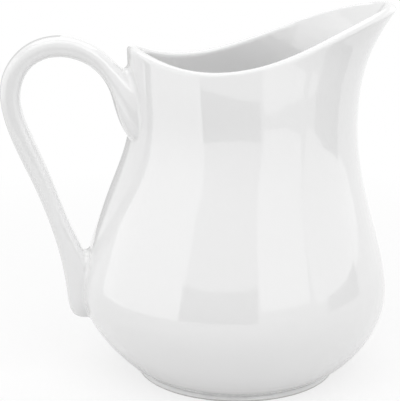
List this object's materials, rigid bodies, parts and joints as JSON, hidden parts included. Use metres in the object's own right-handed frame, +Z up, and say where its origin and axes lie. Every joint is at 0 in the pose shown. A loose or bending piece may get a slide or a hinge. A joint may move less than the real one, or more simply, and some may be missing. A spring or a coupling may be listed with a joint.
{
  "type": "milk jug",
  "caption": "Glazed milk jug with a pear-shaped belly on a low foot ring, a saddle-shaped rim drawn out into a pouring spout, and an ear-shaped handle.",
  "frame": {"origin": "centre of the foot ring, on the surface that the jug stands on", "axes": "+X towards the spout, -X towards the handle, +Y across the jug, +Z up"},
  "size_m": [0.1256, 0.1002, 0.1205],
  "materials": {
    "white_glaze": "glossy"
  },
  "bodies": {
    "root": {"jug": "white_glaze"}
  },
  "joints": []
}
